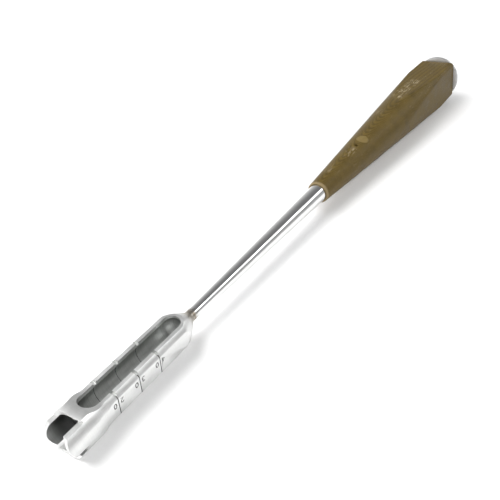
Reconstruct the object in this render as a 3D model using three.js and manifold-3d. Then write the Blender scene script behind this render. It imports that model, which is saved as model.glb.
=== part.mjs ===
// A surgical impactor: a slotted, graduated tube head with a forked mouth on a tapered shaft,
// with a laminated-phenolic grip and a domed striking cap.
// Millimetres, +Z up. The instrument lies along +X on z = 0, resting on its bottom prong and on the
// rim of its cap, with the window of the head upwards.
import * as THREE from "three";
import { mergeVertices } from "three/addons/utils/BufferGeometryUtils.js";
import Module from "manifold-3d";

// Driving dimensions. Stations along the axis are measured from the zero of the depth scale.

// Fits
const GAP = 0.3; // clearance between pieces that touch
const OVERCUT = 2; // how far a cutting tool runs past the surface that it opens

// Head: tube, collar and rear nose
const BORE_RADIUS = 5;
const MOUTH_STEP = 0.9; // how much wider the bore is in the fork
const MOUTH_REAR = 9.8;
const BODY_WALL = 1.93;
const COLLAR_STEP = 0.77; // how much the collar stands proud of the body
const COLLAR_REAR = 11.5;
const COLLAR_TAPER = 5;
const SIDE_WALL = 1.05; // metal between the bore and the flats on both sides
const SIDE_REAR_OF_SLOPE = 17; // where the slope from the collar ends and the side flats begin
const SIDE_SLOPE = 0.18; // rise per length of that slope
const BODY_REAR = 54; // where the rear nose begins
const NOSE_LENGTH = 8.8;
const NOSE_POWER = 1.35; // how soon the nose draws in; 1 is a cone
const BORE_FLOOR_WALL = 0.3; // metal between the end of the bore and the socket of the shaft

// Head: flat, land and window on top
const FLAT_RISE = 0.1; // how much higher than the top of the bore the rear flat is
const LAND_RISE = 1.3; // how much higher the land on the collar is
const LAND_FRONT = 6;
const LAND_REAR = 9.4;
const LAND_SLOPE = 0.25; // fall per length from the land to the flat
const WINDOW_WIDTH = 6.84;
const WINDOW_FRONT = 10.4;
const WINDOW_REAR = 57;

// Head: fork
const FORK_OPEN_TURN = -14; // degrees, the open top of the fork about the axis relative to the flat
const FORK_OPEN_HEIGHT = 4.15; // the fork is cut open above this height
const FORK_OPEN_SKEW = 4; // degrees, the front edge of the land
const RELIEF_RADIUS = 0.45; // round relief in one corner of the open top
const RELIEF_REACH = 2.8; // from the axis to the inner end of the relief
const FORK_TURN = -20; // degrees, the slot and the prongs about the axis relative to the flat
const FORK_SLOT_WIDTH = 1.82;
const FORK_SLOT_HEIGHT = -4.34; // centre of the slot below the axis
const FORK_SLOT_DEPTH = 4.8;
const PRONG_FRONT = -0.35; // mean front of the two side prongs
const PRONG_NOSE_RADIUS = 4.6;
const PRONG_SKEW = 7.7; // degrees, one prong reaches further forward than the other
const KEEL_FRONT = 1.9; // front of the bottom prong

// Head: depth scale
const SCALE_STATIONS = [20, 30, 40];
const SCALE_GROOVE_WIDTH = 0.45;
const SCALE_GROOVE_DEPTH = 0.25;
const INNER_GROOVE_DEPTH = 0.15;
const NOTCH_WIDTH = 1.1; // notches across the rims of the window
const NOTCH_DEPTH = 0.9;

// Shaft
const SHOULDER = 0.58; // how much narrower than the end of the shaft its spigot is
const SPIGOT_LENGTH = 2.8;
const SHAFT_FRONT_RADIUS = 2.18;
const SHAFT_REAR_RADIUS = 4.25;
const SHAFT_LENGTH = 95;
const STUB_LENGTH = 12; // full-width end of the shaft inside the grip
const TANG_RADIUS = 3;
const THREAD_RADIUS = 2.6;
const THREAD_LENGTH = 12;

// Grip
const GRIP_LENGTH = 148.4;
const GRIP_NECK_WALL = 0.85; // how much wider than the end of the shaft the neck is
const GRIP_BELLY_RADIUS = 13.55;
const GRIP_BELLY_TO_BUTT = 19.9;
const GRIP_BUTT_RADIUS = 13.3;
const NECK_LIP = 0.7;
const FLAT_FROM_AXIS = 10.5; // at the front of the grip's flats
const FLAT_LENGTH = 66.4; // from their front to the butt
const FLAT_TAPER = 0.5; // how much nearer to the axis the flats are at the butt
const WITNESS_HOLE_AT = 36.6; // small blind hole, from the neck
const WITNESS_HOLE_RADIUS = 0.9;
const WITNESS_HOLE_DEPTH = 1.5;

// Cross pin and its plugs
const PIN_AT = 43.3; // from the neck
const PIN_TURN = 12.8; // degrees, the pin about the axis relative to the grip's flats
const PIN_RADIUS = 1.5;
const PLUG_RADIUS = 3;
const PLUG_DEPTH = 1.8;

// Cap
const CAP_RADIUS = 12.3;
const CAP_RIM = 1;
const CAP_DOME = 3.4;
const CAP_BOSS_RADIUS = 6;
const CAP_BOSS_LENGTH = 7.5;
const CAP_FLOOR = 2; // metal between the end of the thread and the top of the dome

// Assembly
const GRIP_TURN = -6.3; // degrees, the grip's flats about the axis relative to the head's flat

// Resolution
const FINE = 56; // sides of the large round pieces
const COARSE = 24; // sides of small pins and holes

// Derived sizes
const mouthRadius = BORE_RADIUS + MOUTH_STEP;
const bodyRadius = BORE_RADIUS + BODY_WALL;
const sideFlat = BORE_RADIUS + SIDE_WALL;
const collarRadius = bodyRadius + COLLAR_STEP;
const flatHeight = BORE_RADIUS + FLAT_RISE;
const landHeight = flatHeight + LAND_RISE;
const slopeRear = LAND_REAR + LAND_RISE / LAND_SLOPE;
const hubRadius = SHAFT_FRONT_RADIUS;
const headRear = BODY_REAR + NOSE_LENGTH;
const boreEnd = headRear - SPIGOT_LENGTH - GAP - BORE_FLOOR_WALL;
const shaftFront = headRear + GAP;
const spigotRadius = SHAFT_FRONT_RADIUS - SHOULDER;
const gripNeckRadius = SHAFT_REAR_RADIUS + GRIP_NECK_WALL;
const bellyAt = GRIP_LENGTH - GRIP_BELLY_TO_BUTT;
const neck = shaftFront + SHAFT_LENGTH;
const gripRear = neck + GRIP_LENGTH;
const capFront = gripRear + GAP;
const capTop = capFront + CAP_RIM + CAP_DOME;
const threadEnd = capTop - CAP_FLOOR;
const threadStart = threadEnd - THREAD_LENGTH;
const pinStation = neck + PIN_AT;

const wasm = await Module();
wasm.setup();

// A closed three.js geometry as a solid that can be cut and joined.
function solid(geometry) {
  const bare = geometry.clone();
  bare.deleteAttribute("normal");
  bare.deleteAttribute("uv");
  const merged = mergeVertices(bare, 1e-4);
  return new wasm.Manifold(
    new wasm.Mesh({
      numProp: 3,
      vertProperties: new Float32Array(merged.attributes.position.array),
      triVerts: new Uint32Array(merged.index.array),
    }),
  );
}

function geometryOf(manifold) {
  const mesh = manifold.getMesh();
  const geometry = new THREE.BufferGeometry();
  geometry.setAttribute("position", new THREE.BufferAttribute(mesh.vertProperties, 3));
  geometry.setIndex(new THREE.BufferAttribute(mesh.triVerts, 1));
  geometry.computeVertexNormals();
  return geometry;
}

// A body of revolution about the X axis, from [station, radius] points that start and end on it.
function turned(points, sides) {
  const profile = points.map(([station, radius]) => new THREE.Vector2(radius, station));
  return solid(new THREE.LatheGeometry(profile, sides).rotateZ(-Math.PI / 2));
}

function turnedRod(from, to, radius, sides) {
  return turned([[from, 0], [from, radius], [to, radius], [to, 0]], sides);
}

function block(fromX, toX, halfWidth, fromZ, toZ) {
  const box = new THREE.BoxGeometry(toX - fromX, 2 * halfWidth, toZ - fromZ);
  return solid(box.translate((fromX + toX) / 2, 0, (fromZ + toZ) / 2));
}

// A round bar along Z at a station of the axis.
function uprightRod(station, radius, fromZ, toZ) {
  const rod = new THREE.CylinderGeometry(radius, radius, toZ - fromZ, COARSE).rotateX(Math.PI / 2);
  return solid(rod.translate(station, 0, (fromZ + toZ) / 2));
}

// An outline in the X-Z plane, extruded along Y to both sides.
function sideOutline(points, halfWidth) {
  const shape = new THREE.Shape(points.map(([x, z]) => new THREE.Vector2(x, z)));
  const slab = new THREE.ExtrudeGeometry(shape, { depth: 2 * halfWidth, bevelEnabled: false });
  return solid(slab.translate(0, 0, -halfWidth).rotateX(Math.PI / 2));
}

function arcPoints(centre, radius, fromAngle, toAngle, steps) {
  return Array.from({ length: steps + 1 }, (unused, i) => {
    const angle = fromAngle + ((toAngle - fromAngle) * i) / steps;
    return [centre + radius * Math.cos(angle), radius * Math.sin(angle)];
  });
}

// What the flat on one side of the body takes off, with its slope up to the collar.
function sideCut() {
  const reach = collarRadius + OVERCUT;
  const slopeFront = SIDE_REAR_OF_SLOPE - (reach - sideFlat) / SIDE_SLOPE;
  const rear = headRear + OVERCUT;
  const outline = [[slopeFront, reach], [SIDE_REAR_OF_SLOPE, sideFlat], [rear, sideFlat], [rear, reach]];
  return sideOutline(outline, reach).rotate([90, 0, 0]);
}

function headBlank() {
  const taperSteps = 6;
  const taper = Array.from({ length: taperSteps + 1 }, (unused, i) => {
    const share = i / taperSteps;
    const eased = (1 + Math.cos(Math.PI * share)) / 2;
    return [COLLAR_REAR + share * COLLAR_TAPER, bodyRadius + COLLAR_STEP * eased];
  });
  const front = PRONG_FRONT - OVERCUT;
  const noseSteps = 14;
  const nose = Array.from({ length: noseSteps + 1 }, (unused, i) => {
    const share = i / noseSteps;
    return [
      BODY_REAR + NOSE_LENGTH * share,
      bodyRadius - (bodyRadius - hubRadius) * share ** NOSE_POWER,
    ];
  });
  const blank = turned([[front, 0], [front, collarRadius], ...taper, ...nose, [headRear, 0]], FINE);
  const side = sideCut();
  return blank.subtract(side).subtract(side.mirror([0, 1, 0]));
}

function headBore() {
  const front = PRONG_FRONT - 2 * OVERCUT;
  const end = arcPoints(boreEnd - BORE_RADIUS, BORE_RADIUS, Math.PI / 2, 0, 10);
  const mouth = [[front, 0], [front, mouthRadius], [MOUTH_REAR, mouthRadius], [MOUTH_REAR, BORE_RADIUS]];
  return turned([...mouth, ...end], FINE);
}

// What the flat, the slope and the land take off the top of the head.
function topCut() {
  const above = collarRadius + OVERCUT;
  const front = PRONG_FRONT - 2 * OVERCUT;
  const rear = headRear + OVERCUT;
  const outline = [
    [front, landHeight], [LAND_REAR, landHeight], [slopeRear, flatHeight],
    [rear, flatHeight], [rear, above], [front, above],
  ];
  return sideOutline(outline, above);
}

// The window, cut from above down to the axis.
function windowCut() {
  const radius = WINDOW_WIDTH / 2;
  const frontCentre = WINDOW_FRONT + radius;
  const rearCentre = WINDOW_REAR - radius;
  const top = landHeight + OVERCUT;
  return block(frontCentre, rearCentre, radius, 0, top)
    .add(uprightRod(frontCentre, radius, 0, top))
    .add(uprightRod(rearCentre, radius, 0, top));
}

// A round bar along Y at a station of the axis.
function crossRod(station, radius, fromY, toY, height) {
  const rod = new THREE.CylinderGeometry(radius, radius, toY - fromY, COARSE);
  return solid(rod.translate(station, (fromY + toY) / 2, height));
}

// The open top of the fork, up to the skewed front edge of the land, with its corner relief.
function openTopCut() {
  const reach = collarRadius + OVERCUT;
  const front = PRONG_FRONT - 2 * OVERCUT;
  const height = FORK_OPEN_HEIGHT + RELIEF_RADIUS;
  return block(front, LAND_FRONT, reach, FORK_OPEN_HEIGHT, reach)
    .add(crossRod(LAND_FRONT, RELIEF_RADIUS, -reach, -RELIEF_REACH, height))
    .rotate([0, 0, FORK_OPEN_SKEW])
    .rotate([FORK_OPEN_TURN, 0, 0]);
}

// The fork, cut about the turned axis: through slot and rounded prong fronts.
function forkCut() {
  const reach = collarRadius + OVERCUT;
  const front = PRONG_FRONT - 2 * OVERCUT;
  const slotTop = FORK_SLOT_HEIGHT + FORK_SLOT_WIDTH / 2;
  const slotBottom = FORK_SLOT_HEIGHT - FORK_SLOT_WIDTH / 2;
  const slot = block(front, FORK_SLOT_DEPTH, reach, slotBottom, slotTop);
  const keel = block(front, KEEL_FRONT, reach, -reach, FORK_SLOT_HEIGHT);

  const noseSteps = 12;
  const nose = Array.from({ length: noseSteps + 1 }, (unused, i) => {
    const z = FORK_SLOT_HEIGHT + ((reach - FORK_SLOT_HEIGHT) * i) / noseSteps;
    return [z ** 2 / (2 * PRONG_NOSE_RADIUS), z];
  });
  const noseFront = front - PRONG_FRONT - OVERCUT;
  const noses = sideOutline([[noseFront, FORK_SLOT_HEIGHT], ...nose, [noseFront, reach]], reach)
    .rotate([0, 0, -PRONG_SKEW])
    .translate([PRONG_FRONT, 0, 0]);
  return slot.add(keel).add(noses).rotate([FORK_TURN, 0, 0]);
}

function ringGroove(station, innerRadius, outerRadius) {
  const from = station - SCALE_GROOVE_WIDTH / 2;
  const to = station + SCALE_GROOVE_WIDTH / 2;
  const hole = turnedRod(from - OVERCUT, to + OVERCUT, innerRadius, FINE);
  return turnedRod(from, to, outerRadius, FINE).subtract(hole);
}

function slottedHead() {
  let head = headBlank().subtract(headBore()).subtract(topCut());
  head = head.subtract(windowCut()).subtract(openTopCut()).subtract(forkCut());
  const notchFloor = flatHeight - NOTCH_DEPTH;
  const notchTop = landHeight + OVERCUT;
  for (const station of SCALE_STATIONS) {
    const notchFront = station - NOTCH_WIDTH / 2;
    head = head.subtract(
      block(notchFront, notchFront + NOTCH_WIDTH, collarRadius, notchFloor, notchTop),
    );
    const outer = bodyRadius + OVERCUT;
    head = head.subtract(ringGroove(station, bodyRadius - SCALE_GROOVE_DEPTH, outer));
    head = head.subtract(ringGroove(station, BORE_RADIUS - OVERCUT, BORE_RADIUS + INNER_GROOVE_DEPTH));
  }
  const socket = turnedRod(
    headRear - SPIGOT_LENGTH - GAP, headRear + OVERCUT, spigotRadius + GAP, COARSE,
  );
  return head.subtract(socket);
}

// A round bar across the grip, in the direction of the cross pin.
function pinRod(station, radius, from, to) {
  return uprightRod(station, radius, from, to).rotate([PIN_TURN, 0, 0]);
}

function taperedShaft() {
  const spigotFront = headRear - SPIGOT_LENGTH;
  const stubEnd = neck + STUB_LENGTH;
  const bar = turned(
    [
      [spigotFront, 0], [spigotFront, spigotRadius], [shaftFront, spigotRadius],
      [shaftFront, SHAFT_FRONT_RADIUS], [neck, SHAFT_REAR_RADIUS], [stubEnd, SHAFT_REAR_RADIUS],
      [stubEnd, TANG_RADIUS], [threadStart, TANG_RADIUS], [threadStart, THREAD_RADIUS],
      [threadEnd, THREAD_RADIUS], [threadEnd, 0],
    ],
    FINE,
  );
  const reach = SHAFT_REAR_RADIUS + OVERCUT;
  return bar.subtract(pinRod(pinStation, PIN_RADIUS + GAP, -reach, reach));
}

// The outside of the grip: a turned cone with four flats that taper towards the butt.
function gripBlank() {
  const cone = turned(
    [
      [neck, 0], [neck, gripNeckRadius - NECK_LIP], [neck + NECK_LIP, gripNeckRadius],
      [neck + bellyAt, GRIP_BELLY_RADIUS], [gripRear, GRIP_BUTT_RADIUS], [gripRear, 0],
    ],
    FINE,
  );
  const slope = FLAT_TAPER / FLAT_LENGTH;
  const frontHeight = FLAT_FROM_AXIS + slope * (GRIP_LENGTH - FLAT_LENGTH);
  const rearHeight = FLAT_FROM_AXIS - slope * (FLAT_LENGTH + OVERCUT);
  const above = frontHeight + 2 * OVERCUT + GRIP_BELLY_RADIUS;
  const rear = gripRear + OVERCUT;
  const outline = [[neck, frontHeight], [rear, rearHeight], [rear, above], [neck, above]];
  const flat = sideOutline(outline, above);
  let grip = cone;
  for (const turn of [0, 90, 180, 270]) {
    grip = grip.subtract(flat.rotate([turn, 0, 0]));
  }
  return grip;
}

function gripSurfaceRadius(station) {
  const share = (station - neck - NECK_LIP) / (bellyAt - NECK_LIP);
  return gripNeckRadius + share * (GRIP_BELLY_RADIUS - gripNeckRadius);
}

const gripRadiusAtPin = gripSurfaceRadius(pinStation);
const plugFloor = gripRadiusAtPin - PLUG_DEPTH;

function gripHandle() {
  const reach = GRIP_BELLY_RADIUS + OVERCUT;
  const stubBore = turnedRod(
    neck - OVERCUT, neck + STUB_LENGTH + GAP, SHAFT_REAR_RADIUS + GAP, FINE,
  );
  const tangBore = turnedRod(neck, gripRear + OVERCUT, TANG_RADIUS + GAP, COARSE);
  const bossBore = turnedRod(
    capFront - CAP_BOSS_LENGTH - GAP, gripRear + OVERCUT, CAP_BOSS_RADIUS + GAP, FINE,
  );
  const pinHole = pinRod(pinStation, PIN_RADIUS + GAP, -reach, reach);
  const plugHoleTop = pinRod(pinStation, PLUG_RADIUS + GAP, plugFloor - GAP, reach);
  const plugHoleBottom = pinRod(pinStation, PLUG_RADIUS + GAP, -reach, GAP - plugFloor);
  const witnessStation = neck + WITNESS_HOLE_AT;
  const witnessFloor = gripSurfaceRadius(witnessStation) - WITNESS_HOLE_DEPTH;
  const witnessHole = pinRod(witnessStation, WITNESS_HOLE_RADIUS, witnessFloor, reach);
  return gripBlank()
    .subtract(stubBore)
    .subtract(tangBore)
    .subtract(bossBore)
    .subtract(pinHole)
    .subtract(plugHoleTop)
    .subtract(plugHoleBottom)
    .subtract(witnessHole);
}

function crossPin() {
  return pinRod(pinStation, PIN_RADIUS, 2 * GAP - plugFloor, plugFloor - 2 * GAP);
}

// A plug that fills the hole over one end of the cross pin, flush with the grip.
function pinPlug(side) {
  const reach = GRIP_BELLY_RADIUS;
  const [from, to] = side > 0 ? [plugFloor, reach] : [-reach, -plugFloor];
  return pinRod(pinStation, PLUG_RADIUS, from, to).intersect(gripBlank());
}

function strikingCap() {
  const rim = capFront + CAP_RIM;
  const domeSteps = 12;
  const dome = Array.from({ length: domeSteps + 1 }, (unused, i) => {
    const angle = ((Math.PI / 2) * i) / domeSteps;
    return [rim + CAP_DOME * Math.sin(angle), CAP_RADIUS * Math.cos(angle)];
  });
  dome[domeSteps][1] = 0;
  const bossFront = capFront - CAP_BOSS_LENGTH;
  const blank = turned(
    [
      [bossFront, 0], [bossFront, CAP_BOSS_RADIUS], [capFront, CAP_BOSS_RADIUS],
      [capFront, CAP_RADIUS], ...dome,
    ],
    FINE,
  );
  const thread = turnedRod(bossFront - OVERCUT, threadEnd + GAP, TANG_RADIUS + GAP, COARSE);
  return blank.subtract(thread);
}

function steel(roughness) {
  return new THREE.MeshStandardMaterial({ color: 0xc8cacb, metalness: 1, roughness });
}

function phenolic(color) {
  return new THREE.MeshStandardMaterial({ color, metalness: 0, roughness: 0.45 });
}

function piece(name, manifold, material) {
  const mesh = new THREE.Mesh(geometryOf(manifold), material);
  mesh.name = name;
  return mesh;
}

const grip = new THREE.Group();
grip.add(
  piece("grip_handle", gripHandle(), phenolic(0x786640)),
  piece("cross_pin", crossPin(), steel(0.3)),
  piece("pin_plug_top", pinPlug(1), phenolic(0x95804f)),
  piece("pin_plug_bottom", pinPlug(-1), phenolic(0x95804f)),
);
grip.rotation.x = THREE.MathUtils.degToRad(GRIP_TURN);

const shaft = piece("tapered_shaft", taperedShaft(), steel(0.2));
shaft.rotation.x = grip.rotation.x;

const instrument = new THREE.Group();
instrument.add(
  piece("slotted_head", slottedHead(), steel(0.38)),
  shaft,
  grip,
  piece("striking_cap", strikingCap(), steel(0.25)),
);

// The axis rises towards the grip, so that the bottom prong and the front of the cap's rim both
// touch the surface that the instrument lies on. The origin is under the middle of the whole.
instrument.rotation.y = -Math.asin((CAP_RADIUS - collarRadius) / (capFront - KEEL_FRONT));
const { min, max } = new THREE.Box3().setFromObject(instrument, true);
instrument.position.set(-(min.x + max.x) / 2, -(min.y + max.y) / 2, -min.z);

const impactor = new THREE.Group();
impactor.add(instrument);

export default impactor;
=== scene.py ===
# The instrument's looks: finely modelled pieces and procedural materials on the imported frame.
# Sizes are millimetres in the instrument's own axes: X along the axis from the zero of the depth
# scale, Z square to the head's flat. INSTRUMENT places those axes in the frame of the CAD, in metres.
import math

import bmesh
import bpy
from mathutils import Matrix, Vector


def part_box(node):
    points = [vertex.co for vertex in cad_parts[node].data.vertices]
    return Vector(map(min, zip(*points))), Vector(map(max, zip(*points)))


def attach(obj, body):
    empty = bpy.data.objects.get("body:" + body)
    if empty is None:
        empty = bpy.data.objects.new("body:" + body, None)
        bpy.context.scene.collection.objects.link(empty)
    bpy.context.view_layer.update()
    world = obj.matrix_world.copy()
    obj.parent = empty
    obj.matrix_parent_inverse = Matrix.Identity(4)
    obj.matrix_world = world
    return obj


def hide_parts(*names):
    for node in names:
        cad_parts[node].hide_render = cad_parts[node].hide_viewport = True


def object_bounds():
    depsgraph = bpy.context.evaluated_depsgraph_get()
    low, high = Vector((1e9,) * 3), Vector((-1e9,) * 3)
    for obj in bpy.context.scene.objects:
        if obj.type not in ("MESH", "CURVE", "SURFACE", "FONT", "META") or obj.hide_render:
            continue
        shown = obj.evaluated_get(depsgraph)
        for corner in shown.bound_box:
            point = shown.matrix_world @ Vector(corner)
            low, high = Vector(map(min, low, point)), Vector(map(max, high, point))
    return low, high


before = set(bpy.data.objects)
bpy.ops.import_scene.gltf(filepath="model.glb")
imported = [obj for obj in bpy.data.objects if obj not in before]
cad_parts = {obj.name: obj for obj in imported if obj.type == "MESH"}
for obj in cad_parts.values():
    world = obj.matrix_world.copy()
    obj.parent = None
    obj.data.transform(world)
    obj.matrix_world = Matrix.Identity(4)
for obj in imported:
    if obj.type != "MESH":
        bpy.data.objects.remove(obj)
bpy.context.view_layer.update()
MM = 0.001

# ---------------------------------------------------------------- sizes, as in the CAD source
GAP = 0.3
BORE_RADIUS = 5.0
MOUTH_RADIUS = 5.9
MOUTH_REAR = 9.8
BODY_RADIUS = 6.93
COLLAR_RADIUS = 7.70
COLLAR_REAR = 11.5
COLLAR_TAPER = 5
SIDE_FLAT = 6.05
SIDE_REAR_OF_SLOPE = 17
SIDE_SLOPE = 0.18
BODY_REAR = 54
NOSE_LENGTH = 8.8
NOSE_POWER = 1.35
HUB_RADIUS = 2.18
HEAD_REAR = BODY_REAR + NOSE_LENGTH
SPIGOT_LENGTH = 2.8
SPIGOT_RADIUS = 1.6
SOCKET_WALL = 0.3
BORE_END = HEAD_REAR - SPIGOT_LENGTH - GAP - SOCKET_WALL
FLAT_HEIGHT = 5.1
LAND_HEIGHT = 6.4
LAND_REAR = 9.4
SLOPE_REAR = 14.6
WINDOW_RADIUS = 3.42
WINDOW_FRONT = 10.4
WINDOW_REAR = 57
FORK_TURN = math.radians(-20)
FORK_OPEN_TURN = math.radians(-14)
FORK_OPEN_HEIGHT = 4.15
FORK_OPEN_SKEW = math.radians(4)
RELIEF_RADIUS = 0.45
RELIEF_REACH = 2.8
FORK_SLOT_TOP = -3.43
FORK_SLOT_BOTTOM = -5.25
FORK_SLOT_DEPTH = 4.8
LAND_FRONT = 6
PRONG_FRONT = -0.35
PRONG_NOSE_RADIUS = 4.6
PRONG_SKEW = math.radians(-7.7)
KEEL_FRONT = 1.9
KEEL_TOP = (FORK_SLOT_TOP + FORK_SLOT_BOTTOM) / 2
SCALE = [20, 30, 40]
GROOVE_DEPTH = 0.25
INNER_GROOVE_DEPTH = 0.15
RIM_NOTCH = 1.1
RIM_NOTCH_DEPTH = 0.9
SHAFT_FRONT = HEAD_REAR + GAP
SHAFT_LENGTH = 95
NECK = SHAFT_FRONT + SHAFT_LENGTH
SHAFT_REAR_RADIUS = 4.25
STUB_LENGTH = 12
TANG_RADIUS = 3
THREAD_LENGTH = 12
GRIP_LENGTH = 148.4
GRIP_REAR = NECK + GRIP_LENGTH
NECK_RADIUS = 5.1
NECK_LIP = 0.7
BELLY_RADIUS = 13.55
BELLY_AT = 128.5
BUTT_RADIUS = 13.3
FLAT_AT_START = 10.5
FLAT_START = 82
FLAT_SLOPE = 0.5 / (GRIP_LENGTH - FLAT_START)
PIN_STATION = NECK + 43.3
PIN_HOLE_RADIUS = 1.8
PLUG_RADIUS = 3
PLUG_DEPTH = 1.8
WITNESS_STATION = NECK + 36.6
CAP_FRONT = GRIP_REAR + GAP
CAP_RADIUS = 12.3
CAP_RIM = 1
CAP_DOME = 3.4
CAP_FLOOR = 2
CAP_BOSS_RADIUS = 6
CAP_BOSS_LENGTH = 7.5
THREAD_END = CAP_FRONT + CAP_RIM + CAP_DOME - CAP_FLOOR
GRIP_TURN = math.radians(-6.3)
TILT = math.asin((CAP_RADIUS - COLLAR_RADIUS) / (CAP_FRONT - KEEL_FRONT))

# The instrument's axes in the CAD frame: the grip's neck and the cap's rim say where they are.
_turn = Matrix.Rotation(-TILT, 3, "Y")
_bore = SHAFT_REAR_RADIUS + GAP
_neck_lip = _turn @ Vector((NECK + _bore - NECK_RADIUS + NECK_LIP, 0, _bore)) * MM
_cap_rim = _turn @ Vector((CAP_FRONT, 0, -CAP_RADIUS)) * MM
_offset = Vector((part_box("grip_handle")[0].x - _neck_lip.x, 0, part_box("striking_cap")[0].z - _cap_rim.z))
INSTRUMENT = Matrix.Translation(_offset) @ _turn.to_4x4()
GRIP_AXES = INSTRUMENT @ Matrix.Rotation(GRIP_TURN, 4, "X")
PIN_TURN = Matrix.Rotation(math.radians(12.8), 4, "X")

# Small details that only the visual model has.
FILLET = 0.9  # length of the braze at the end of the head
FILLET_RISE = 0.12
EDGE_ROUND = 0.6  # round edge of the butt
FINE = 144  # sides of the round pieces

# ---------------------------------------------------------------- camera, first
CAMERA_AT = Vector((-63.5126, -116.1138, 159.9254))
CAMERA_AIM = Vector((107.1568, 2.9913, 0))
CAMERA_ROLL = -0.0424
CAMERA_LENS = 46.8


def make_camera():
    data = bpy.data.cameras.new("camera")
    data.sensor_width = 36
    data.lens = CAMERA_LENS
    data.clip_start = 0.01
    data.clip_end = 10
    camera = bpy.data.objects.new("camera", data)
    bpy.context.scene.collection.objects.link(camera)
    forward = (CAMERA_AIM - CAMERA_AT).normalized()
    right = forward.cross(Vector((0, 0, 1))).normalized()
    down = forward.cross(right)
    c, s = math.cos(CAMERA_ROLL), math.sin(CAMERA_ROLL)
    right, down = c * right - s * down, s * right + c * down
    axes = Matrix((right, -down, -forward)).transposed().to_4x4()
    camera.matrix_world = INSTRUMENT @ Matrix.Translation(CAMERA_AT * MM) @ axes
    bpy.context.scene.camera = camera


make_camera()

# ---------------------------------------------------------------- node helpers


def set_stops(elements, stops):
    elements.remove(elements[1])
    for k, (at, value) in enumerate(stops):
        element = elements[0] if k == 0 else elements.new(at)
        element.position = at
        element.color = value if isinstance(value, tuple) else (value, value, value, 1)


class Graph:
    """A material's node tree, with short names for the few nodes that are used."""

    def __init__(self, name):
        self.material = bpy.data.materials.new(name)
        self.material.use_nodes = True
        self.tree = self.material.node_tree
        self.tree.nodes.clear()
        self.output = self.tree.nodes.new("ShaderNodeOutputMaterial")
        self.shader = self.tree.nodes.new("ShaderNodeBsdfPrincipled")
        self.tree.links.new(self.shader.outputs["BSDF"], self.output.inputs["Surface"])
        place = self.tree.nodes.new("ShaderNodeMapping")
        place.inputs["Rotation"].default_value = (0, TILT, 0)
        place.inputs["Location"].default_value = INSTRUMENT.inverted().to_translation()
        self.link(self.tree.nodes.new("ShaderNodeTexCoord").outputs["Object"], place.inputs["Vector"])
        self.place = place.outputs["Vector"]

    def link(self, source, socket):
        if isinstance(source, (int, float, tuple)):
            socket.default_value = source
        else:
            self.tree.links.new(source, socket)

    def scaled(self, factors):
        """Object coordinates times a vector: metres to the texture's own cells."""
        node = self.tree.nodes.new("ShaderNodeMapping")
        self.link(self.place, node.inputs["Vector"])
        node.inputs["Scale"].default_value = factors
        return node.outputs["Vector"]

    def noise(self, factors, detail=3.0, rough=0.55, distort=0.0):
        node = self.tree.nodes.new("ShaderNodeTexNoise")
        self.link(self.scaled(factors), node.inputs["Vector"])
        node.inputs["Scale"].default_value = 1.0
        node.inputs["Detail"].default_value = detail
        node.inputs["Roughness"].default_value = rough
        node.inputs["Distortion"].default_value = distort
        return node.outputs["Fac"]

    def spots(self, factors):
        node = self.tree.nodes.new("ShaderNodeTexVoronoi")
        self.link(self.scaled(factors), node.inputs["Vector"])
        node.inputs["Scale"].default_value = 1.0
        return node.outputs["Distance"]

    def waves(self, factors, axis="X", distort=0.0, detail=2.0, detail_scale=1.0):
        node = self.tree.nodes.new("ShaderNodeTexWave")
        node.bands_direction = axis
        self.link(self.scaled(factors), node.inputs["Vector"])
        node.inputs["Scale"].default_value = 1.0
        node.inputs["Distortion"].default_value = distort
        node.inputs["Detail"].default_value = detail
        node.inputs["Detail Scale"].default_value = detail_scale
        return node.outputs["Fac"]

    def ramp(self, source, stops):
        node = self.tree.nodes.new("ShaderNodeValToRGB")
        set_stops(node.color_ramp.elements, stops)
        self.link(source, node.inputs["Fac"])
        return node.outputs["Color"]

    def mix(self, factor, first, second):
        node = self.tree.nodes.new("ShaderNodeMix")
        node.data_type = "RGBA"
        self.link(factor, node.inputs[0])
        self.link(first, node.inputs[6])
        self.link(second, node.inputs[7])
        return node.outputs[2]

    def math(self, operation, first, second):
        node = self.tree.nodes.new("ShaderNodeMath")
        node.operation = operation
        self.link(first, node.inputs[0])
        self.link(second, node.inputs[1])
        return node.outputs[0]

    def spread(self, source, low, high, to_low=0.0, to_high=1.0):
        node = self.tree.nodes.new("ShaderNodeMapRange")
        node.interpolation_type = "SMOOTHSTEP"
        self.link(source, node.inputs["Value"])
        node.inputs["From Min"].default_value = low
        node.inputs["From Max"].default_value = high
        node.inputs["To Min"].default_value = to_low
        node.inputs["To Max"].default_value = to_high
        return node.outputs["Result"]

    def band(self, source, low, high, soft):
        """One between low and high, with soft ends, and nothing outside."""
        rise = self.spread(source, low - soft, low + soft)
        fall = self.spread(source, high - soft, high + soft, 1, 0)
        return self.math("MULTIPLY", rise, fall)

    def axis(self, name):
        """The station X or the widths Y and Z, in millimetres of the instrument's axes."""
        node = self.tree.nodes.new("ShaderNodeSeparateXYZ")
        self.link(self.scaled((1000, 1000, 1000)), node.inputs[0])
        return node.outputs[name]

    def bump(self, height, strength, distance):
        node = self.tree.nodes.new("ShaderNodeBump")
        node.inputs["Strength"].default_value = strength
        node.inputs["Distance"].default_value = distance * MM
        self.link(height, node.inputs["Height"])
        self.link(node.outputs["Normal"], self.shader.inputs["Normal"])

    def set(self, **sockets):
        for name, value in sockets.items():
            self.link(value, self.shader.inputs[SOCKETS[name]])
        return self.material


SOCKETS = {"color": "Base Color", "metallic": "Metallic", "roughness": "Roughness", "ior": "IOR",
           "specular": "Specular IOR Level"}


def gray(value, tint=(1.0, 1.0, 1.0)):
    return (value * tint[0], value * tint[1], value * tint[2], 1)


# ---------------------------------------------------------------- materials


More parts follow.
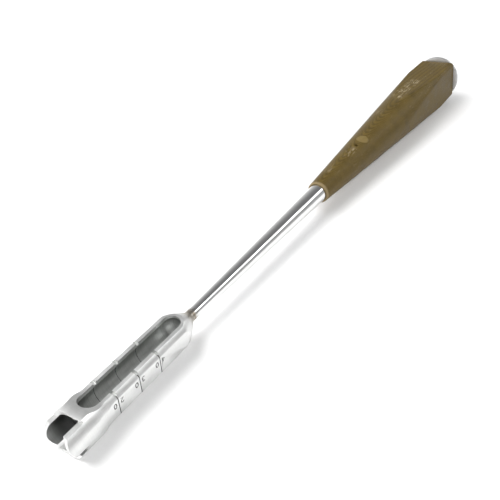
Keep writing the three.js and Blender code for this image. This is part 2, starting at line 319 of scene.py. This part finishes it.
def satin_steel():
    g = Graph("satin_steel")
    cloudy = g.noise((150, 260, 260), detail=4)
    turning = g.noise((5200, 160, 160), detail=2)
    grains = g.noise((4200, 4200, 4200), detail=2, rough=0.7)
    tone = g.ramp(cloudy, [(0.25, gray(0.70, (0.995, 1.0, 0.985))), (0.75, gray(0.82, (0.995, 1, 0.99)))])
    tone = g.mix(g.spread(turning, 0.3, 0.7, 0.0, 0.25), tone, gray(0.62))
    rough = g.math("ADD", g.spread(cloudy, 0.2, 0.8, 0.33, 0.42), g.spread(grains, 0.2, 0.8, -0.05, 0.05))
    station = g.math("ADD", g.axis("X"), g.math("MULTIPLY", g.noise((700, 700, 700), detail=4), 2.4))
    stain = g.spread(station, 59.6, 63.2, 0.0, 0.72)
    tone = g.mix(stain, tone, (0.24, 0.20, 0.14, 1))
    g.bump(g.math("ADD", g.math("MULTIPLY", turning, 0.6), grains), 0.22, 0.02)
    return g.set(color=tone, metallic=1.0, roughness=rough)


# Painted shade: the bore's steel is a darker copy of the satin steel, standing for the shade inside the bore,
# the socket and the rim notches; its machined rings are real.
def shaded_bore_steel():
    g = Graph("shaded_bore_steel")
    cloudy = g.noise((180, 300, 300), detail=4)
    rings = g.noise((3600, 60, 60), detail=3)
    tone = g.ramp(cloudy, [(0.25, gray(0.44, (0.98, 1, 0.97))), (0.75, gray(0.56, (0.98, 1, 0.98)))])
    tone = g.mix(g.spread(rings, 0.35, 0.75, 0.0, 0.35), tone, gray(0.32))
    station = g.axis("X")
    # Painted shade: the mouth's bore darkens towards the land, where its tunnel lies in shade.
    tunnel_shade = g.math("MULTIPLY", g.spread(station, 1.5, 6.0), g.spread(station, 9.0, 20.0, 1.0, 0.0))
    tone = g.mix(g.math("MULTIPLY", tunnel_shade, 0.72), tone, gray(0.09))
    g.bump(rings, 0.35, 0.03)
    return g.set(color=tone, metallic=1.0, roughness=g.spread(rings, 0.2, 0.8, 0.34, 0.5))


def engraved_steel():
    g = Graph("engraved_steel")
    # The engraving's dark fill is partly grime and partly painted shade in the grooves.
    grime_and_shade = g.noise((1500, 1500, 1500), detail=4)
    tone = g.ramp(grime_and_shade, [(0.3, gray(0.05, (1, 0.96, 0.92))), (0.75, gray(0.16, (1, 0.97, 0.93)))])
    g.bump(grime_and_shade, 0.4, 0.03)
    return g.set(color=tone, metallic=0.6, roughness=g.spread(grime_and_shade, 0.2, 0.8, 0.5, 0.75))


def polished_steel():
    g = Graph("polished_steel")
    draw = g.noise((30, 2600, 2600), detail=3, rough=0.6)
    haze = g.noise((220, 420, 420), detail=4)
    tone = g.ramp(haze, [(0.25, gray(0.76, (1, 1, 0.99))), (0.8, gray(0.86))])
    station = g.axis("X")
    edge = g.noise((900, 900, 900), detail=3)
    reach = g.math("ADD", station, g.math("MULTIPLY", edge, -3.2))
    stain = g.spread(reach, SHAFT_FRONT - 1.2, SHAFT_FRONT + 1.6, 0.85, 0.0)
    tone = g.mix(stain, tone, (0.20, 0.155, 0.095, 1))
    texture = g.math("ADD", g.math("MULTIPLY", draw, 0.5), g.math("MULTIPLY", haze, 0.5))
    rough = g.spread(texture, 0.3, 0.7, 0.055, 0.13)
    rough = g.math("ADD", rough, g.math("MULTIPLY", stain, 0.35))
    g.bump(draw, 0.10, 0.01)
    return g.set(color=tone, metallic=1.0, roughness=rough)


def cap_steel():
    g = Graph("cap_steel")
    dings = g.spread(g.spots((420, 420, 420)), 0.0, 0.32, 1.0, 0.0)
    haze = g.noise((260, 260, 260), detail=5)
    turning = g.noise((2600, 180, 180), detail=2)
    tone = g.ramp(haze, [(0.25, gray(0.62)), (0.8, gray(0.74))])
    tone = g.mix(g.math("MULTIPLY", dings, 0.35), tone, gray(0.42))
    rough = g.math("ADD", g.spread(haze, 0.2, 0.8, 0.28, 0.38), g.math("MULTIPLY", dings, 0.15))
    g.bump(g.math("ADD", g.math("MULTIPLY", dings, -0.8), g.math("MULTIPLY", turning, 0.25)), 0.25, 0.04)
    return g.set(color=tone, metallic=1.0, roughness=rough)


# Scuffed patches of the grip's top: from and to station, from and to width, how much.
SCUFFS = [(247, 275, -1.0, 5.0, 0.8), (184, 193, -2.5, 2.0, 0.5), (168, 177, 0.0, 2.5, 0.6),
          (226, 233, 1.0, 5.0, 0.3), (268, 292, -2.4, -1.4, 0.35)]


def phenolic():
    """Fabric-filled resin: thin layers along the grip, a fine weave, wear, old scuffs, and a painted
    highlight just behind the neck.
    """
    g = Graph("phenolic")
    layers = g.waves((90, 60, 1150), axis="Z", distort=1.1, detail=2.0, detail_scale=0.6)
    warp = g.waves((2100, 40, 40), axis="X", distort=1.2, detail=1.0)
    weft = g.waves((40, 2100, 2100), axis="Y", distort=1.2, detail=1.0)
    thread = g.math("MULTIPLY", warp, weft)
    mottle = g.noise((130, 130, 130), detail=5, rough=0.6)
    tone = g.ramp(mottle, [(0.30, (0.086, 0.059, 0.014, 1)), (0.52, (0.116, 0.079, 0.019, 1)),
                           (0.75, (0.144, 0.099, 0.025, 1))])
    tone = g.mix(g.spread(layers, 0.2, 0.9, 0.0, 0.5), tone, (0.044, 0.028, 0.009, 1))
    tone = g.mix(g.spread(thread, 0.3, 0.9, 0.0, 0.4), tone, (0.155, 0.112, 0.042, 1))
    station = g.axis("X")
    # Painted highlight: a lighter band just behind the neck stands for light on its rounded edge.
    lip_highlight_reach = g.math("ADD", station, g.math("MULTIPLY", mottle, 1.2))
    lip = g.spread(lip_highlight_reach, NECK + 1.3, NECK + 2.4, 0.5, 0.0)
    tone = g.mix(lip, tone, (0.36, 0.28, 0.16, 1))
    scratch = g.spread(g.noise((160, 2600, 2600), detail=4, rough=0.7), 0.60, 0.72)
    smear = g.spread(g.noise((300, 1500, 1500), detail=4, rough=0.6, distort=0.6), 0.50, 0.64)
    above = g.spread(g.axis("Z"), 1, 3)
    worn = 0.0
    for from_x, to_x, from_y, to_y, amount in SCUFFS:
        patch = g.math("MULTIPLY", g.band(station, from_x, to_x, 2), g.band(g.axis("Y"), from_y, to_y, 1))
        patch = g.math("MULTIPLY", patch, g.math("MULTIPLY", above, amount))
        worn = g.math("MAXIMUM", worn, patch)
    marks = g.math("MAXIMUM", g.math("MULTIPLY", worn, smear), g.math("MULTIPLY", scratch, 0.28))
    tone = g.mix(marks, tone, (0.46, 0.38, 0.25, 1))
    rough = g.math("ADD", g.spread(mottle, 0.2, 0.8, 0.42, 0.56), g.spread(thread, 0.2, 0.9, -0.04, 0.06))
    height = g.math("ADD", g.math("MULTIPLY", thread, 0.8), g.math("MULTIPLY", layers, 0.4))
    height = g.math("ADD", height, g.math("MULTIPLY", marks, -0.6))
    g.bump(height, 0.22, 0.05)
    return g.set(color=tone, roughness=rough, ior=1.5, specular=0.14)


def plug_resin():
    g = Graph("plug_resin")
    rings = g.noise((900, 900, 900), detail=3)
    weave = g.waves((1500, 1500, 60), axis="DIAGONAL", distort=2.0, detail=1.0)
    tone = g.ramp(rings, [(0.25, (0.165, 0.118, 0.040, 1)), (0.75, (0.215, 0.158, 0.060, 1))])
    tone = g.mix(g.spread(weave, 0.2, 0.9, 0.0, 0.3), tone, (0.11, 0.078, 0.030, 1))
    g.bump(weave, 0.2, 0.03)
    return g.set(color=tone, roughness=g.spread(rings, 0.2, 0.8, 0.45, 0.6), ior=1.5, specular=0.14)


def pin_steel():
    g = Graph("pin_steel")
    draw = g.noise((2400, 2400, 90), detail=3)
    tone = g.ramp(draw, [(0.25, gray(0.55)), (0.8, gray(0.74))])
    g.bump(draw, 0.2, 0.02)
    return g.set(color=tone, metallic=1.0, roughness=g.spread(draw, 0.2, 0.8, 0.22, 0.38))


SATIN = satin_steel()
SHADED_BORE = shaded_bore_steel()
ENGRAVED = engraved_steel()
POLISHED = polished_steel()
CAP = cap_steel()
PHENOLIC = phenolic()
PLUG = plug_resin()
PIN = pin_steel()

# ---------------------------------------------------------------- mesh helpers
LINED = [SATIN, SHADED_BORE, ENGRAVED]
ENGRAVED_SLOT = 2


def piece(name, bm, materials):
    """A new piece, still in millimetres; settle() puts it in its place."""
    mesh = bpy.data.meshes.new(name)
    bm.to_mesh(mesh)
    bm.free()
    for material in materials:
        mesh.materials.append(material)
    obj = bpy.data.objects.new(name, mesh)
    bpy.context.scene.collection.objects.link(obj)
    return obj


def settle(obj, node, axes=INSTRUMENT, degrees=30):
    """A finished piece goes to metres and to its place, and stands for its CAD node."""
    obj.data.transform(axes @ Matrix.Scale(MM, 4))
    obj.data.shade_smooth()
    obj.data.set_sharp_from_angle(angle=math.radians(degrees))
    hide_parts(node)
    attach(obj, "root")


def outward(bm):
    """Turns every face of a closed body outwards."""
    bm.normal_update()
    bmesh.ops.recalc_face_normals(bm, faces=bm.faces)
    if bm.calc_volume(signed=True) < 0:
        bmesh.ops.reverse_faces(bm, faces=bm.faces)


def lathe(points, sides=FINE):
    """A closed body of revolution about X, from [station, radius] points that start and end on it."""
    bm = bmesh.new()
    rings = []
    for station, radius in points:
        if radius <= 1e-9:
            rings.append([bm.verts.new((station, 0, 0))])
            continue
        turn = [2 * math.pi * k / sides for k in range(sides)]
        rings.append([bm.verts.new((station, radius * math.cos(a), radius * math.sin(a))) for a in turn])
    for near, far in zip(rings, rings[1:]):
        for k in range(sides):
            n = (k + 1) % sides
            corners = [near[k % len(near)], near[n % len(near)], far[n % len(far)], far[k % len(far)]]
            corners = list(dict.fromkeys(corners))
            if len(corners) > 2:
                bm.faces.new(corners)
    outward(bm)
    return bm


def prism(outline, low, high, axis="Y", material=0):
    """A closed prism over an outline. axis Y: outline in X-Z; axis Z: outline in X-Y."""
    bm = bmesh.new()
    place = (lambda p, d: (p[0], d, p[1])) if axis == "Y" else (lambda p, d: (p[0], p[1], d))
    bottom = [bm.verts.new(place(p, low)) for p in outline]
    top = [bm.verts.new(place(p, high)) for p in outline]
    bm.faces.new(bottom)
    bm.faces.new(top[::-1])
    for k in range(len(outline)):
        n = (k + 1) % len(outline)
        bm.faces.new((bottom[n], bottom[k], top[k], top[n]))
    for face in bm.faces:
        face.material_index = material
    outward(bm)
    return bm


def cut(target, bm, materials=None):
    """Cuts a bmesh from a piece, both in millimetres; the cut faces take the tool's materials."""
    tool = piece("tool", bm, materials or [target.data.materials[0]])
    modifier = target.modifiers.new("cut", "BOOLEAN")
    modifier.operation = "DIFFERENCE"
    modifier.solver = "MANIFOLD"
    modifier.material_mode = "TRANSFER"
    modifier.object = tool
    bpy.context.view_layer.update()
    graph = bpy.context.evaluated_depsgraph_get()
    made = bpy.data.meshes.new_from_object(target.evaluated_get(graph))
    old = target.data
    target.modifiers.clear()
    target.data = made
    made.name = target.name
    bpy.data.meshes.remove(old)
    gone = tool.data
    bpy.data.objects.remove(tool)
    bpy.data.meshes.remove(gone)


def arc(centre, radius, from_angle, to_angle, steps):
    turn = [from_angle + (to_angle - from_angle) * k / steps for k in range(steps + 1)]
    return [(centre + radius * math.cos(a), radius * math.sin(a)) for a in turn]


def stadium(front, rear, radius, steps=40):
    left = [(front + radius + radius * math.cos(a), radius * math.sin(a))
            for a in (math.pi / 2 + math.pi * k / steps for k in range(steps + 1))]
    right = [(rear - radius + radius * math.cos(a), radius * math.sin(a))
             for a in (-math.pi / 2 + math.pi * k / steps for k in range(steps + 1))]
    return left + right


def turned_bm(bm, matrix):
    bmesh.ops.transform(bm, matrix=matrix, verts=bm.verts)
    return bm


def oval(cx, cy, rx, ry, from_deg, to_deg, steps):
    turn = [math.radians(from_deg + (to_deg - from_deg) * k / steps) for k in range(steps + 1)]
    return [(cx + rx * math.cos(a), cy + ry * math.sin(a)) for a in turn]


def strand(path, radius, closed, sides=8):
    """A round bar through points of a side flat, bent without twist, with engraved faces."""
    bm = bmesh.new()
    count = len(path)
    rings = []
    for k, at in enumerate(path):
        before = path[k - 1] if closed or k else at
        after = path[(k + 1) % count] if closed or k < count - 1 else at
        along = (after - before).normalized()
        out = Vector((0, -1, 0))
        side = along.cross(out).normalized()
        out = side.cross(along).normalized()
        rings.append([bm.verts.new(at + radius * (math.cos(a) * side + math.sin(a) * out))
                      for a in (2 * math.pi * i / sides for i in range(sides))])
    pairs = list(zip(rings, rings[1:])) + ([(rings[-1], rings[0])] if closed else [])
    for near, far in pairs:
        for i in range(sides):
            j = (i + 1) % sides
            bm.faces.new((near[i], near[j], far[j], far[i]))
    if not closed:
        bm.faces.new(rings[0][::-1])
        bm.faces.new(rings[-1])
    for face in bm.faces:
        face.material_index = ENGRAVED_SLOT
    outward(bm)
    return bm


def tube(section, sides=FINE):
    """A ring about X with the given [station, radius] section, with engraved faces."""
    bm = bmesh.new()
    rings = []
    for k in range(sides):
        a = 2 * math.pi * k / sides
        rings.append([bm.verts.new((x, r * math.cos(a), r * math.sin(a))) for x, r in section])
    for k in range(sides):
        near, far = rings[k], rings[(k + 1) % sides]
        for i in range(len(section)):
            j = (i + 1) % len(section)
            bm.faces.new((near[i], near[j], far[j], far[i])).material_index = ENGRAVED_SLOT
    outward(bm)
    return bm


# ---------------------------------------------------------------- head
OVERCUT = 2
REACH = COLLAR_RADIUS + OVERCUT
HEAD_FRONT = PRONG_FRONT - OVERCUT


def shaft_radius(station):
    return HUB_RADIUS + (SHAFT_REAR_RADIUS - HUB_RADIUS) * (station - SHAFT_FRONT) / (NECK - SHAFT_FRONT)


def side_profile(side):
    """The edge of a side flat: the slope from the collar runs into the flat in a soft bend."""
    points = []
    for k in range(17):
        x = SIDE_REAR_OF_SLOPE - 4 + 0.5 * k
        points.append((x, side * (SIDE_FLAT + SIDE_SLOPE * (x - SIDE_REAR_OF_SLOPE - 4) ** 2 / 16)))
    return points


def head_blank():
    taper = []
    for k in range(13):
        eased = (1 + math.cos(math.pi * k / 12)) / 2
        radius = BODY_RADIUS + (COLLAR_RADIUS - BODY_RADIUS) * eased
        taper.append((COLLAR_REAR + COLLAR_TAPER * k / 12, radius))
    nose = []
    for k in range(24):
        radius = BODY_RADIUS - (BODY_RADIUS - HUB_RADIUS) * (k / 24) ** NOSE_POWER
        nose.append((BODY_REAR + NOSE_LENGTH * k / 24, radius))
    fillet = []
    for k in range(1, 11):
        share = k / 10
        station = HEAD_REAR + FILLET * share
        rise = FILLET_RISE * (1 - share) ** 2.2 - FILLET_RISE * (1 - share) ** 8
        fillet.append((station, shaft_radius(station) + 0.02 + rise))
    outline = [(HEAD_FRONT, 0), (HEAD_FRONT, COLLAR_RADIUS)] + taper + nose + fillet
    outline.append((HEAD_REAR + FILLET, 0))
    return piece("head_body", lathe(outline), LINED)


def cut_bore_and_flats(head):
    front = HEAD_FRONT - OVERCUT
    end = arc(BORE_END - BORE_RADIUS, BORE_RADIUS, math.pi / 2, 0, 20)
    end[-1] = (BORE_END, 0)
    mouth = [(front, 0), (front, MOUTH_RADIUS), (MOUTH_REAR, MOUTH_RADIUS), (MOUTH_REAR, BORE_RADIUS)]
    cut(head, lathe(mouth + end), [SHADED_BORE])
    slope_front = SIDE_REAR_OF_SLOPE - (REACH - SIDE_FLAT) / SIDE_SLOPE
    rear = HEAD_REAR + 3
    for side in (1, -1):
        flat = [(slope_front, side * REACH)] + side_profile(side)
        flat += [(rear, side * SIDE_FLAT), (rear, side * REACH)]
        cut(head, prism(flat, -REACH, REACH, "Z"))
    rear = HEAD_REAR + OVERCUT
    top = [(front, LAND_HEIGHT), (LAND_REAR, LAND_HEIGHT), (SLOPE_REAR, FLAT_HEIGHT),
           (rear, FLAT_HEIGHT), (rear, REACH), (front, REACH)]
    cut(head, prism(top, -REACH, REACH))
    cut(head, prism(stadium(WINDOW_FRONT, WINDOW_REAR, WINDOW_RADIUS), 2, REACH, "Z"))


def cut_fork(head):
    """The open top with its corner relief, then slot, bottom prong and rounded side prongs."""
    front = HEAD_FRONT - OVERCUT
    fork = Matrix.Rotation(FORK_TURN, 4, "X")
    open_axes = Matrix.Rotation(FORK_OPEN_TURN, 4, "X") @ Matrix.Rotation(FORK_OPEN_SKEW, 4, "Z")
    open_top = [(front, FORK_OPEN_HEIGHT), (LAND_FRONT, FORK_OPEN_HEIGHT),
                (LAND_FRONT, REACH), (front, REACH)]
    cut(head, turned_bm(prism(open_top, -REACH, REACH), open_axes))
    relief = oval(LAND_FRONT, FORK_OPEN_HEIGHT + RELIEF_RADIUS, RELIEF_RADIUS, RELIEF_RADIUS, 0, 345, 23)
    cut(head, turned_bm(prism(relief, -REACH, -RELIEF_REACH), open_axes), LINED)
    slot = [(front, FORK_SLOT_BOTTOM), (FORK_SLOT_DEPTH, FORK_SLOT_BOTTOM),
            (FORK_SLOT_DEPTH, FORK_SLOT_TOP), (front, FORK_SLOT_TOP)]
    cut(head, turned_bm(prism(slot, -REACH, REACH), fork))
    keel = [(front, -REACH), (KEEL_FRONT, -REACH), (KEEL_FRONT, KEEL_TOP), (front, KEEL_TOP)]
    cut(head, turned_bm(prism(keel, -REACH, REACH), fork))
    nose = []
    for k in range(25):
        z = KEEL_TOP + (REACH - KEEL_TOP) * k / 24
        nose.append((z * z / (2 * PRONG_NOSE_RADIUS), z))
    noses = prism([(-4, KEEL_TOP)] + nose + [(-4, REACH)], -REACH, REACH)
    skew = Matrix.Translation((PRONG_FRONT, 0, 0)) @ Matrix.Rotation(PRONG_SKEW, 4, "Z")
    cut(head, turned_bm(noses, fork @ skew))


def groove(station, top_half, floor_half, top, floor):
    """The section of a groove, wider at its top than at its floor."""
    return [(station - top_half, top), (station + top_half, top),
            (station + floor_half, floor), (station - floor_half, floor)]


def cut_scale_lines(head):
    """Round grooves on the body, straight ones on the side flats, and faint ones in the bore."""
    for station in SCALE:
        cut(head, tube(groove(station, 0.22, 0.16, BODY_RADIUS + 1, BODY_RADIUS - GROOVE_DEPTH)), LINED)
        for side in (-1, 1):
            line = groove(station, 0.2, 0.15, side * (SIDE_FLAT + 0.6), side * (SIDE_FLAT - GROOVE_DEPTH))
            cut(head, prism(line, -3.45, 3.45, "Z", ENGRAVED_SLOT), LINED)
        inner = groove(station, 0.09, 0.09, BORE_RADIUS + INNER_GROOVE_DEPTH, BORE_RADIUS - 1)
        cut(head, tube(inner), LINED)


def cut_socket(head):
    front = HEAD_REAR - SPIGOT_LENGTH - GAP
    rear = HEAD_REAR + 3
    seat = HEAD_REAR + 0.02
    width = SPIGOT_RADIUS + GAP
    socket = [(front, 0), (front, width), (seat, width), (seat, HUB_RADIUS + 0.01),
              (rear, shaft_radius(rear) + 0.015), (rear, 0)]
    cut(head, lathe(socket), [SHADED_BORE])


def cut_notches_and_digits(head):
    for station in SCALE:
        front, rear = station - RIM_NOTCH / 2, station + RIM_NOTCH / 2
        floor = FLAT_HEIGHT - RIM_NOTCH_DEPTH
        notch = [(front, floor), (rear, floor), (rear, REACH), (front, REACH)]
        # The rim notches' faces take the bore steel, with its painted shade.
        cut(head, prism(notch, -REACH, REACH), [SHADED_BORE])
    for station, digit in zip(SCALE, ("2", "3", "4")):
        for glyph, centre in (("0", station - 1.6), (digit, station + 1.6)):
            for stroke, closed in GLYPHS[glyph]:
                path = [glyph_point(x, y, centre) for x, y in stroke]
                cut(head, strand(path, 0.19, closed), LINED)


def head_piece():
    head = head_blank()
    cut_bore_and_flats(head)
    cut_fork(head)
    cut_scale_lines(head)
    cut_socket(head)
    cut_notches_and_digits(head)
    return head


# Digit strokes in a cell 1.3 wide and 2.1 tall, written upright: points, and whether the stroke closes.
GLYPHS = {
    "0": [(oval(0, 1.05, 0.56, 0.95, 0, 345, 22), True)],
    "2": [(oval(0, 1.45, 0.55, 0.52, 165, -35, 12) + [(-0.58, 0.1), (0.6, 0.1)], False)],
    "3": [(oval(0, 1.52, 0.5, 0.47, 150, -80, 10), False), (oval(0, 0.58, 0.58, 0.5, 85, -150, 12), False)],
    "4": [([(0.28, 0.08), (0.28, 1.98), (-0.62, 0.65), (0.65, 0.65)], False)],
}
DIGIT_BASE = 2.5


def glyph_point(x, y, centre):
    """A point of a digit on the near side flat; it reads from the handle to the tip, tops downwards."""
    return Vector((centre - x, -SIDE_FLAT - 0.04, DIGIT_BASE - y))


settle(head_piece(), "slotted_head")

# ---------------------------------------------------------------- shaft


def shaft_piece():
    spigot = HEAD_REAR - SPIGOT_LENGTH
    points = [(spigot, 0), (spigot, SPIGOT_RADIUS - 0.15), (spigot + 0.15, SPIGOT_RADIUS),
              (SHAFT_FRONT, SPIGOT_RADIUS), (SHAFT_FRONT, HUB_RADIUS)]
    for k in range(1, 41):
        station = SHAFT_FRONT + SHAFT_LENGTH * k / 40
        points.append((station, shaft_radius(station)))
    end = NECK + STUB_LENGTH
    station = THREAD_END - THREAD_LENGTH
    points += [(end - 0.3, SHAFT_REAR_RADIUS), (end, SHAFT_REAR_RADIUS - 0.3), (end, TANG_RADIUS),
               (station, TANG_RADIUS)]
    pitch, root, crest = 0.8, 2.6, 2.98
    while station + pitch < THREAD_END:
        points += [(station + 0.1, root), (station + 0.4, crest), (station + 0.7, root)]
        station += pitch
    points += [(THREAD_END, 2.5), (THREAD_END, 0)]
    shaft = piece("shaft_bar", lathe(points), [POLISHED])
    hole = PIN_TURN @ Matrix.Translation((PIN_STATION, 0, 0)) @ Matrix.Rotation(math.pi / 2, 4, "Y")
    cut(shaft, turned_bm(lathe([(-9, 0), (-9, PIN_HOLE_RADIUS), (9, PIN_HOLE_RADIUS), (9, 0)], 48), hole))
    return shaft


settle(shaft_piece(), "tapered_shaft", GRIP_AXES)

# ---------------------------------------------------------------- grip


def cone_radius(station):
    at = station - NECK
    if at < BELLY_AT:
        share = (at - NECK_LIP) / (BELLY_AT - NECK_LIP)
        return NECK_RADIUS + share * (BELLY_RADIUS - NECK_RADIUS)
    return BELLY_RADIUS + (BUTT_RADIUS - BELLY_RADIUS) * (at - BELLY_AT) / (GRIP_LENGTH - BELLY_AT)


def grip_radius(station, angle, soft=0.14):
    """The smaller of the turned cone and the four flats, with softened edges between them."""
    height = FLAT_AT_START - FLAT_SLOPE * (station - NECK - FLAT_START)
    terms = [math.exp(-(cone_radius(station) - 8) / soft)]
    for k in range(4):
        facing = math.cos(angle - k * math.pi / 2)
        if facing > 0.3:
            terms.append(math.exp(-(height / facing - 8) / soft))
    return 8 - soft * math.log(sum(terms))


def grip_piece():
    around = 288
    stations = [NECK + NECK_LIP * (1 - math.cos(a)) for a in (math.pi / 2 * k / 8 for k in range(9))]
    lip = [NECK_RADIUS - NECK_LIP + NECK_LIP * math.sin(math.pi / 2 * k / 8) for k in range(9)]
    count = 150
    body = [NECK + NECK_LIP + (GRIP_LENGTH - NECK_LIP - EDGE_ROUND) * k / count for k in range(1, count + 1)]
    ends = [(GRIP_REAR - EDGE_ROUND + EDGE_ROUND * math.sin(math.pi / 2 * k / 6),
             EDGE_ROUND * (1 - math.cos(math.pi / 2 * k / 6))) for k in range(1, 7)]
    boss_end, stub_end = CAP_FRONT - CAP_BOSS_LENGTH - 2 * GAP, NECK + STUB_LENGTH + GAP
    boss_bore, tang_bore, stub_bore = CAP_BOSS_RADIUS + GAP, TANG_RADIUS + GAP, SHAFT_REAR_RADIUS + 0.2
    bore = [(GRIP_REAR, boss_bore), (boss_end, boss_bore), (boss_end, tang_bore), (stub_end, tang_bore),
            (stub_end, stub_bore), (NECK + 0.3, stub_bore)]
    bm = bmesh.new()
    rings = []
    for k in range(around):
        angle = 2 * math.pi * k / around
        section = [(x, r) for x, r in zip(stations, lip)]
        section += [(x, grip_radius(x, angle)) for x in body]
        section += [(x, grip_radius(x, angle) - inset) for x, inset in ends]
        section += bore
        rings.append([bm.verts.new((x, r * math.sin(angle), r * math.cos(angle))) for x, r in section])
    size = len(rings[0])
    for k in range(around):
        near, far = rings[k], rings[(k + 1) % around]
        for i in range(size):
            j = (i + 1) % size
            bm.faces.new((near[i], near[j], far[j], far[i]))
    outward(bm)
    grip = piece("grip_body", bm, [PHENOLIC])
    surface = cone_radius(PIN_STATION)
    for side in (1, -1):
        upright = Matrix.Translation((PIN_STATION, 0, 0)) @ Matrix.Rotation(-side * math.pi / 2, 4, "Y")
        floor = surface - PLUG_DEPTH - GAP
        width = PLUG_RADIUS + 0.06
        well = [(0.5, 0), (0.5, PIN_HOLE_RADIUS), (floor, PIN_HOLE_RADIUS),
                (floor, width), (20, width), (20, 0)]
        cut(grip, turned_bm(lathe(well, 64), PIN_TURN @ upright))
    upright = Matrix.Translation((WITNESS_STATION, 0, 0)) @ Matrix.Rotation(-math.pi / 2, 4, "Y")
    surface = cone_radius(WITNESS_STATION)
    hole = [(surface - 1.5, 0), (surface - 1.3, 0.8), (surface - 0.12, 0.9),
            (surface + 0.05, 1.05), (20, 1.05), (20, 0)]
    cut(grip, turned_bm(lathe(hole, 40), PIN_TURN @ upright))
    return grip


def plug_piece(name, side):
    """A plug whose outer face follows the grip, with a slightly sunk, chamfered edge."""
    surface = cone_radius(PIN_STATION)
    bm = bmesh.new()
    sides, rings = 64, []
    levels = [(0, "floor"), (PLUG_RADIUS, "floor"), (PLUG_RADIUS, "edge"), (PLUG_RADIUS - 0.12, "face")]
    levels += [(PLUG_RADIUS * (1 - k / 8), "face") for k in range(1, 9)]
    for radius, level in levels:
        ring = []
        for i in range(sides if radius > 1e-6 else 1):
            a = 2 * math.pi * i / sides
            x, y = PIN_STATION + radius * math.cos(a), radius * math.sin(a)
            top = math.sqrt(cone_radius(x) ** 2 - y * y)
            z = {"floor": surface - PLUG_DEPTH, "edge": top - 0.12, "face": top - 0.02}[level]
            ring.append(bm.verts.new((x, y, side * z)))
        rings.append(ring)
    for near, far in zip(rings, rings[1:]):
        for i in range(sides):
            j = (i + 1) % sides
            corners = [near[i % len(near)], near[j % len(near)], far[j % len(far)], far[i % len(far)]]
            corners = list(dict.fromkeys(corners))
            if len(corners) > 2:
                bm.faces.new(corners)
    outward(bm)
    return piece(name, bm, [PLUG])


settle(grip_piece(), "grip_handle", GRIP_AXES, 32)
settle(plug_piece("plug_disc_top", 1), "pin_plug_top", GRIP_AXES @ PIN_TURN, 40)
settle(plug_piece("plug_disc_bottom", -1), "pin_plug_bottom", GRIP_AXES @ PIN_TURN, 40)

pin_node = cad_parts["cross_pin"]
pin_node.data.materials.clear()
pin_node.data.materials.append(PIN)
pin_node.data.shade_smooth()
pin_node.data.set_sharp_from_angle(angle=math.radians(30))

# ---------------------------------------------------------------- cap


def cap_piece():
    rim = CAP_FRONT + CAP_RIM
    boss = CAP_FRONT - CAP_BOSS_LENGTH
    points = [(boss, 0), (boss, CAP_BOSS_RADIUS - 0.3), (boss + 0.3, CAP_BOSS_RADIUS),
              (CAP_FRONT, CAP_BOSS_RADIUS), (CAP_FRONT, CAP_RADIUS - 0.25),
              (CAP_FRONT + 0.07, CAP_RADIUS - 0.07), (CAP_FRONT + 0.25, CAP_RADIUS)]
    for k in range(33):
        a = math.pi / 2 * k / 32
        points.append((rim + CAP_DOME * math.sin(a), CAP_RADIUS * math.cos(a) if k < 32 else 0))
    cap = piece("cap_dome", lathe(points, 192), [CAP])
    front, end, width = boss - OVERCUT, THREAD_END + GAP, TANG_RADIUS + GAP
    cut(cap, lathe([(front, 0), (front, width), (end, width), (end, 0)], 64))
    return cap


settle(cap_piece(), "striking_cap")

# ---------------------------------------------------------------- floor and light


def make_floor():
    bm = bmesh.new()
    bmesh.ops.create_grid(bm, x_segments=2, y_segments=2, size=3)
    mesh = bpy.data.meshes.new("floor")
    bm.to_mesh(mesh)
    bm.free()
    floor = bpy.data.objects.new("floor", mesh)
    bpy.context.scene.collection.objects.link(floor)
    floor.location.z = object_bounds()[0].z
    g = Graph("floor_paper")
    fibre = g.noise((900, 900, 900), detail=2)
    mesh.materials.append(g.set(color=g.ramp(fibre, [(0.2, gray(0.92)), (0.8, gray(0.95))]), roughness=0.9))


def area(name, at, aim, width, height, power):
    data = bpy.data.lights.new(name, "AREA")
    data.shape = "RECTANGLE"
    data.size, data.size_y, data.energy = width, height, power
    lamp = bpy.data.objects.new(name, data)
    bpy.context.scene.collection.objects.link(lamp)
    lamp.location = at
    lamp.rotation_mode = "QUATERNION"
    lamp.rotation_quaternion = (Vector(aim) - Vector(at)).to_track_quat("-Z", "Y")
    return lamp


def make_world():
    """A light room: brightness by the direction round the instrument's length."""
    world = bpy.data.worlds.new("room")
    world.use_nodes = True
    tree = world.node_tree
    tree.nodes.clear()
    out = tree.nodes.new("ShaderNodeOutputWorld")
    back = tree.nodes.new("ShaderNodeBackground")
    tree.links.new(back.outputs[0], out.inputs[0])
    coord = tree.nodes.new("ShaderNodeTexCoord")
    parts = tree.nodes.new("ShaderNodeSeparateXYZ")
    tree.links.new(coord.outputs["Generated"], parts.inputs[0])
    turn = tree.nodes.new("ShaderNodeMath")
    turn.operation = "ARCTAN2"
    tree.links.new(parts.outputs["Z"], turn.inputs[0])
    tree.links.new(parts.outputs["Y"], turn.inputs[1])
    share = tree.nodes.new("ShaderNodeMath")
    share.operation = "DIVIDE"
    tree.links.new(turn.outputs[0], share.inputs[0])
    share.inputs[1].default_value = math.pi
    ramp = tree.nodes.new("ShaderNodeValToRGB")
    stops = [(0.0, 0.85), (0.14, 0.62), (0.26, 0.42), (0.36, 0.30), (0.48, 0.22), (0.655, 0.20), (0.675, 3.0),
             (0.765, 3.0), (0.785, 0.34), (1.0, 0.55)]
    set_stops(ramp.color_ramp.elements, stops)
    tree.links.new(share.outputs[0], ramp.inputs["Fac"])
    tree.links.new(ramp.outputs["Color"], back.inputs["Color"])
    back.inputs["Strength"].default_value = 0.95
    bpy.context.scene.world = world


make_floor()
make_world()
area("key", (-0.35, 0.45, 0.9), (0, 0, 0), 0.7, 0.7, 12)
view = bpy.context.scene.view_settings
view.view_transform = "Standard"
view.look = "None"
view.exposure = 0.0
